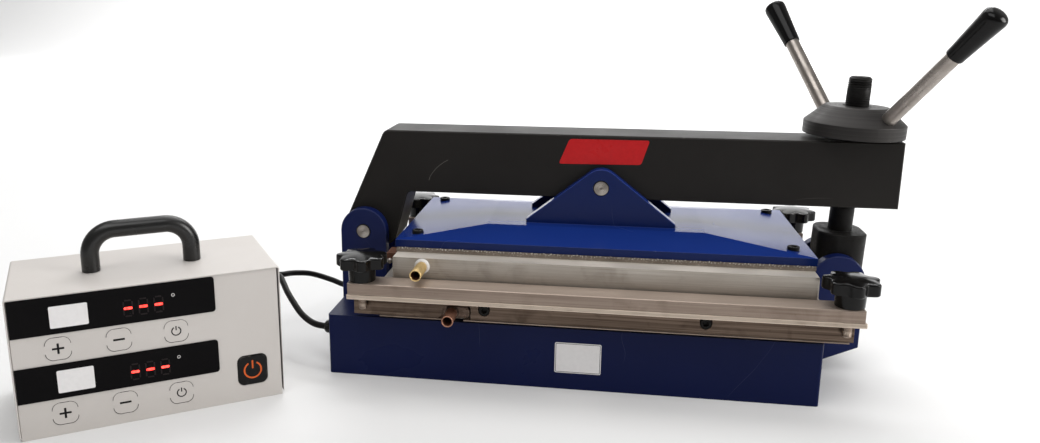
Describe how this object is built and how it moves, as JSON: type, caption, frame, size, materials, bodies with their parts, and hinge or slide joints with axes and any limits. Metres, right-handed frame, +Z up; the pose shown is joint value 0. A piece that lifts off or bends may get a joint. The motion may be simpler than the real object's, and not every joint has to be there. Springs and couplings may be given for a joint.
{
  "type": "conveyor belt splicing press",
  "caption": "Bench press that heats and squeezes a belt splice between two platens under a hinged arm with a hand nut, with its twin-zone control box.",
  "frame": {"origin": "centre of the underside of the press base", "axes": "+X along the press from the arm's hinge to the tie bolt, +Y from the front to the rear, +Z up"},
  "size_m": [0.8622, 0.4501, 0.3624],
  "materials": {
    "blue_paint": "gloss",
    "black_paint": "satin",
    "platen_aluminium": "brushed",
    "stainless": "brushed",
    "brass": "machined",
    "black_plastic": "gloss",
    "blackened_steel": "black oxide",
    "insulation_board": "rough laminate board",
    "box_paint": "powder coat",
    "display_black": "satin",
    "black_rubber": "matt",
    "brown_resin": "resin"
  },
  "bodies": {
    "press_base": {"base_housing": "blue_paint", "bottom_cover": "blue_paint", "lower_frame": "blue_paint", "hinge_pin": "stainless", "tie_pin": "stainless", "lower_insulation": "insulation_board", "lower_platen": "platen_aluminium", "lower_heater": "brown_resin", "lower_hose_tail_front": "brass", "lower_hose_tail_rear": "brass", "front_rail": "stainless", "rear_rail": "stainless", "front_rail_screw_left": "blackened_steel", "front_rail_screw_right": "blackened_steel", "rear_rail_screw_left": "blackened_steel", "rear_rail_screw_right": "blackened_steel", "front_jaw": "stainless", "rear_jaw": "stainless", "front_cable": "black_rubber", "rear_cable": "black_rubber", "press_gland_front": "stainless", "press_gland_rear": "stainless", "control_chassis": "box_paint", "control_cover": "box_paint", "upper_display": "display_black", "lower_display": "display_black", "power_switch": "display_black", "carry_handle": "black_plastic", "mains_inlet": "black_plastic", "control_gland_front": "stainless", "control_gland_rear": "stainless"},
    "arm": {"arm": "black_paint", "hinge_bush": "brass", "rocker_pin": "stainless"},
    "upper_press": {"pressure_plate": "blue_paint", "press_screw_front_left": "blackened_steel", "press_screw_front_right": "blackened_steel", "press_screw_rear_left": "blackened_steel", "press_screw_rear_right": "blackened_steel", "upper_insulation": "insulation_board", "upper_platen": "platen_aluminium", "upper_heater": "brown_resin", "platen_sensor": "stainless", "heater_terminal": "brown_resin", "upper_hose_tail_front": "brass", "upper_hose_tail_rear": "brass"},
    "tie_bolt": {"tie_bolt": "blackened_steel"},
    "thrust_washer": {"thrust_washer": "stainless"},
    "hand_nut": {"hand_nut": "blackened_steel", "handle_rod_front": "stainless", "handle_rod_rear": "stainless", "handle_grip_front": "black_plastic", "handle_grip_rear": "black_plastic"},
    "front_clamp": {"front_clamp_bar": "stainless"},
    "rear_clamp": {"rear_clamp_bar": "stainless"},
    "front_left_knob": {"front_left_knob": "black_plastic"},
    "front_right_knob": {"front_right_knob": "black_plastic"},
    "rear_left_knob": {"rear_left_knob": "black_plastic"},
    "rear_right_knob": {"rear_right_knob": "black_plastic"},
    "power_button": {"power_button": "black_plastic"}
  },
  "joints": [
    {"name": "arm_open", "type": "hinge", "parent": "press_base", "child": "arm", "pos_m": [-0.2178, 0, 0.125], "axis": [0, -1, 0], "range_deg": [0, 90]},
    {"name": "platen_rock", "type": "hinge", "parent": "arm", "child": "upper_press", "pos_m": [0.028, 0, 0.18], "axis": [0, -1, 0], "range_deg": [-0.6, 0.6]},
    {"name": "bolt_swing", "type": "hinge", "parent": "press_base", "child": "tie_bolt", "pos_m": [0.265, 0, 0.096], "axis": [0, 1, 0], "range_deg": [0, 45.2]},
    {"name": "washer_rise", "type": "slide", "parent": "tie_bolt", "child": "thrust_washer", "axis": [0.0349, 0, 0.9994], "range_m": [0, 0.0213]},
    {"name": "nut_turn", "type": "hinge", "parent": "thrust_washer", "child": "hand_nut", "pos_m": [0.265, 0, 0.096], "axis": [0.0349, 0, 0.9994], "range_deg": [0, 3816]},
    {"name": "front_bar_lift", "type": "slide", "parent": "press_base", "child": "front_clamp", "axis": [0, 0, 1], "range_m": [0, 0.0032]},
    {"name": "front_left_knob_turn", "type": "hinge", "parent": "front_clamp", "child": "front_left_knob", "pos_m": [-0.19395, -0.1281, 0.115], "axis": [0, 0, 1], "range_deg": [0, 922]},
    {"name": "front_right_knob_turn", "type": "hinge", "parent": "front_clamp", "child": "front_right_knob", "pos_m": [0.24755, -0.1281, 0.115], "axis": [0, 0, 1], "range_deg": [0, 922]},
    {"name": "rear_bar_lift", "type": "slide", "parent": "press_base", "child": "rear_clamp", "axis": [0, 0, 1], "range_m": [0, 0.0032]},
    {"name": "rear_left_knob_turn", "type": "hinge", "parent": "rear_clamp", "child": "rear_left_knob", "pos_m": [-0.19395, 0.1281, 0.115], "axis": [0, 0, 1], "range_deg": [0, 922]},
    {"name": "rear_right_knob_turn", "type": "hinge", "parent": "rear_clamp", "child": "rear_right_knob", "pos_m": [0.24755, 0.1281, 0.115], "axis": [0, 0, 1], "range_deg": [0, 922]},
    {"name": "power_press", "type": "slide", "parent": "press_base", "child": "power_button", "axis": [-0.5592, 0.829, 0], "range_m": [0, 0.0015], "stiffness_N_per_m": 600}
  ],
  "couplings": [
    {"joint": "washer_rise", "follows": "nut_turn", "m_per_rad": 0.00031831},
    {"joint": "bolt_swing", "follows": "nut_turn", "ratio": 0.011792},
    {"joint": "front_left_knob_turn", "follows": "front_bar_lift", "rad_per_m": 5026.5},
    {"joint": "front_right_knob_turn", "follows": "front_bar_lift", "rad_per_m": 5026.5},
    {"joint": "rear_left_knob_turn", "follows": "rear_bar_lift", "rad_per_m": 5026.5},
    {"joint": "rear_right_knob_turn", "follows": "rear_bar_lift", "rad_per_m": 5026.5}
  ]
}
